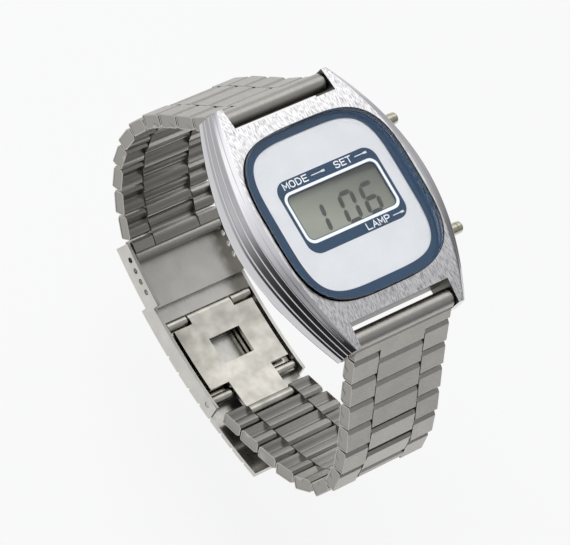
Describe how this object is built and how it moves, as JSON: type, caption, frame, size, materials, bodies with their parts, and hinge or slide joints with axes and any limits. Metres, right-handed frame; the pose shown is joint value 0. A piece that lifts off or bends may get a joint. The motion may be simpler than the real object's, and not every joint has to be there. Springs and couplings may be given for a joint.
{
  "type": "lcd wristwatch",
  "caption": "Steel digital wristwatch: cushion crystal over a segment display, ribbed tonneau case, push buttons and a folded-link bracelet closed by a three-fold clasp.",
  "frame": {"origin": "centre of the case back's flat outer face", "axes": "+Z out of the crystal, +Y towards 12 o'clock, +X towards 3 o'clock and the buttons"},
  "size_m": [0.0336, 0.0581, 0.0432],
  "materials": {
    "case_steel": "polished flanks, top face brushed lengthwise",
    "link_steel": "satin, with polished bevels",
    "clasp_steel": "satin outside",
    "blade_steel": "polished",
    "button_metal": "satin, warm nickel",
    "spring_steel": "drawn wire",
    "crystal_glass": "clear mineral glass",
    "gasket_rubber": "matte black",
    "dial_print": "printed navy and silver under the glass",
    "lcd_glass": "grey-green, dark segments",
    "reflector_foil": "matte foil",
    "contact_elastomer": "conductive strip",
    "module_plastic": "moulded",
    "board_laminate": "lacquered",
    "chip_epoxy": "moulded",
    "contact_brass": "plain",
    "cell_steel": "nickel plated"
  },
  "bodies": {
    "root": {"case_body": "case_steel", "crystal": "crystal_glass", "crystal_gasket": "gasket_rubber", "dial_plate": "dial_print", "lcd_panel": "lcd_glass", "lcd_reflector": "reflector_foil", "contact_strip_12": "contact_elastomer", "contact_strip_6": "contact_elastomer", "lamp": "reflector_foil", "module_frame": "module_plastic", "circuit_board": "board_laminate", "driver_chip": "chip_epoxy", "quartz_can": "reflector_foil", "trimmer": "contact_brass", "battery_cell": "cell_steel", "battery_clamp": "contact_brass", "case_back": "link_steel", "case_back_gasket": "gasket_rubber", "button_spring_upper": "spring_steel", "button_spring_lower": "spring_steel", "spring_bar_12": "spring_steel", "spring_bar_6": "spring_steel"},
    "button_upper": {"button_upper": "button_metal", "button_clip_upper": "spring_steel"},
    "button_lower": {"button_lower": "button_metal", "button_clip_lower": "spring_steel"},
    "end_link_12": {"end_link_12": "link_steel"},
    "link_12_1": {"link_12_1": "link_steel"},
    "link_12_2": {"link_12_2": "link_steel"},
    "link_12_3": {"link_12_3": "link_steel"},
    "link_12_4": {"link_12_4": "link_steel"},
    "link_12_5": {"link_12_5": "link_steel"},
    "link_12_6": {"link_12_6": "link_steel"},
    "link_12_7": {"link_12_7": "link_steel"},
    "link_12_8": {"link_12_8": "link_steel"},
    "link_12_9": {"link_12_9": "link_steel"},
    "link_12_10": {"link_12_10": "link_steel", "adjust_bar": "spring_steel"},
    "end_link_6": {"end_link_6": "link_steel"},
    "link_6_1": {"link_6_1": "link_steel"},
    "link_6_2": {"link_6_2": "link_steel"},
    "link_6_3": {"link_6_3": "link_steel"},
    "link_6_4": {"link_6_4": "link_steel"},
    "link_6_5": {"link_6_5": "link_steel"},
    "link_6_6": {"link_6_6": "link_steel"},
    "link_6_7": {"link_6_7": "link_steel"},
    "link_6_8": {"link_6_8": "link_steel"},
    "link_6_9": {"link_6_9": "link_steel"},
    "link_6_10": {"link_6_10": "link_steel"},
    "link_6_11": {"link_6_11": "link_steel"},
    "inner_blade": {"inner_blade": "blade_steel", "clasp_pin_12": "spring_steel"},
    "middle_blade": {"middle_blade": "blade_steel"},
    "clasp_cover": {"clasp_cover": "clasp_steel", "clasp_pin_6": "spring_steel"}
  },
  "joints": [
    {"name": "press_upper", "type": "slide", "parent": "root", "child": "button_upper", "axis": [-1, 0, 0], "range_m": [0, 0.0006], "stiffness_N_per_m": 400, "springref_m": -0.0008},
    {"name": "press_lower", "type": "slide", "parent": "root", "child": "button_lower", "axis": [-1, 0, 0], "range_m": [0, 0.0006], "stiffness_N_per_m": 400, "springref_m": -0.0008},
    {"name": "swing_12", "type": "hinge", "parent": "root", "child": "end_link_12", "pos_m": [0, 0.0172, 0.0059], "axis": [1, 0, 0], "range_deg": [0, 33]},
    {"name": "hinge_12_1", "type": "hinge", "parent": "end_link_12", "child": "link_12_1", "pos_m": [0, 0.01957, 0.00082], "axis": [1, 0, 0], "range_deg": [-8, 0]},
    {"name": "hinge_12_2", "type": "hinge", "parent": "link_12_1", "child": "link_12_2", "pos_m": [0, 0.02149, -0.00251], "axis": [1, 0, 0], "range_deg": [-8, 0]},
    {"name": "hinge_12_3", "type": "hinge", "parent": "link_12_2", "child": "link_12_3", "pos_m": [0, 0.02342, -0.00584], "axis": [1, 0, 0], "range_deg": [-8, 0]},
    {"name": "hinge_12_4", "type": "hinge", "parent": "link_12_3", "child": "link_12_4", "pos_m": [0, 0.02504, -0.00933], "axis": [1, 0, 0], "range_deg": [-8, 0]},
    {"name": "hinge_12_5", "type": "hinge", "parent": "link_12_4", "child": "link_12_5", "pos_m": [0, 0.02578, -0.01311], "axis": [1, 0, 0], "range_deg": [-8, 0]},
    {"name": "hinge_12_6", "type": "hinge", "parent": "link_12_5", "child": "link_12_6", "pos_m": [0, 0.02551, -0.01695], "axis": [1, 0, 0], "range_deg": [-8, 0]},
    {"name": "hinge_12_7", "type": "hinge", "parent": "link_12_6", "child": "link_12_7", "pos_m": [0, 0.02426, -0.02059], "axis": [1, 0, 0], "range_deg": [-8, 0]},
    {"name": "hinge_12_8", "type": "hinge", "parent": "link_12_7", "child": "link_12_8", "pos_m": [0, 0.0221, -0.02378], "axis": [1, 0, 0], "range_deg": [-8, 0]},
    {"name": "hinge_12_9", "type": "hinge", "parent": "link_12_8", "child": "link_12_9", "pos_m": [0, 0.01933, -0.02646], "axis": [1, 0, 0], "range_deg": [-8, 0]},
    {"name": "hinge_12_10", "type": "hinge", "parent": "link_12_9", "child": "link_12_10", "pos_m": [0, 0.01614, -0.02861], "axis": [1, 0, 0], "range_deg": [-8, 0]},
    {"name": "swing_6", "type": "hinge", "parent": "root", "child": "end_link_6", "pos_m": [0, -0.0172, 0.0059], "axis": [1, 0, 0], "range_deg": [-30, 0]},
    {"name": "hinge_6_1", "type": "hinge", "parent": "end_link_6", "child": "link_6_1", "pos_m": [0, -0.02025, 0.0012], "axis": [1, 0, 0], "range_deg": [-10, 0]},
    {"name": "hinge_6_2", "type": "hinge", "parent": "link_6_1", "child": "link_6_2", "pos_m": [0, -0.02246, -0.00195], "axis": [1, 0, 0], "range_deg": [-10, 0]},
    {"name": "hinge_6_3", "type": "hinge", "parent": "link_6_2", "child": "link_6_3", "pos_m": [0, -0.02472, -0.00507], "axis": [1, 0, 0], "range_deg": [-10, 0]},
    {"name": "hinge_6_4", "type": "hinge", "parent": "link_6_3", "child": "link_6_4", "pos_m": [0, -0.02698, -0.00818], "axis": [1, 0, 0], "range_deg": [-10, 0]},
    {"name": "hinge_6_5", "type": "hinge", "parent": "link_6_4", "child": "link_6_5", "pos_m": [0, -0.02891, -0.01151], "axis": [1, 0, 0], "range_deg": [-10, 0]},
    {"name": "hinge_6_6", "type": "hinge", "parent": "link_6_5", "child": "link_6_6", "pos_m": [0, -0.03003, -0.0152], "axis": [1, 0, 0], "range_deg": [-10, 0]},
    {"name": "hinge_6_7", "type": "hinge", "parent": "link_6_6", "child": "link_6_7", "pos_m": [0, -0.0295, -0.01901], "axis": [1, 0, 0], "range_deg": [-10, 0]},
    {"name": "hinge_6_8", "type": "hinge", "parent": "link_6_7", "child": "link_6_8", "pos_m": [0, -0.02735, -0.0222], "axis": [1, 0, 0], "range_deg": [-10, 0]},
    {"name": "hinge_6_9", "type": "hinge", "parent": "link_6_8", "child": "link_6_9", "pos_m": [0, -0.02431, -0.02457], "axis": [1, 0, 0], "range_deg": [-10, 0]},
    {"name": "hinge_6_10", "type": "hinge", "parent": "link_6_9", "child": "link_6_10", "pos_m": [0, -0.02098, -0.0265], "axis": [1, 0, 0], "range_deg": [-10, 0]},
    {"name": "hinge_6_11", "type": "hinge", "parent": "link_6_10", "child": "link_6_11", "pos_m": [0, -0.01758, -0.0283], "axis": [1, 0, 0], "range_deg": [-10, 0]},
    {"name": "clasp_end_pivot", "type": "hinge", "parent": "link_6_11", "child": "inner_blade", "pos_m": [0, -0.01415, -0.03005], "axis": [1, 0, 0], "range_deg": [-10, 0]},
    {"name": "clasp_unfold", "type": "hinge", "parent": "inner_blade", "child": "middle_blade", "pos_m": [0, 0.00188, -0.03214], "axis": [1, 0, 0], "range_deg": [0, 165]},
    {"name": "cover_turn", "type": "hinge", "parent": "middle_blade", "child": "clasp_cover", "pos_m": [0, -0.01046, -0.03156], "axis": [1, 0, 0], "range_deg": [-165, 0]}
  ],
  "couplings": [
    {"joint": "clasp_unfold", "follows": "swing_6", "ratio": -5.5},
    {"joint": "cover_turn", "follows": "swing_6", "ratio": 5.5},
    {"joint": "swing_12", "follows": "swing_6", "ratio": -1.1}
  ]
}
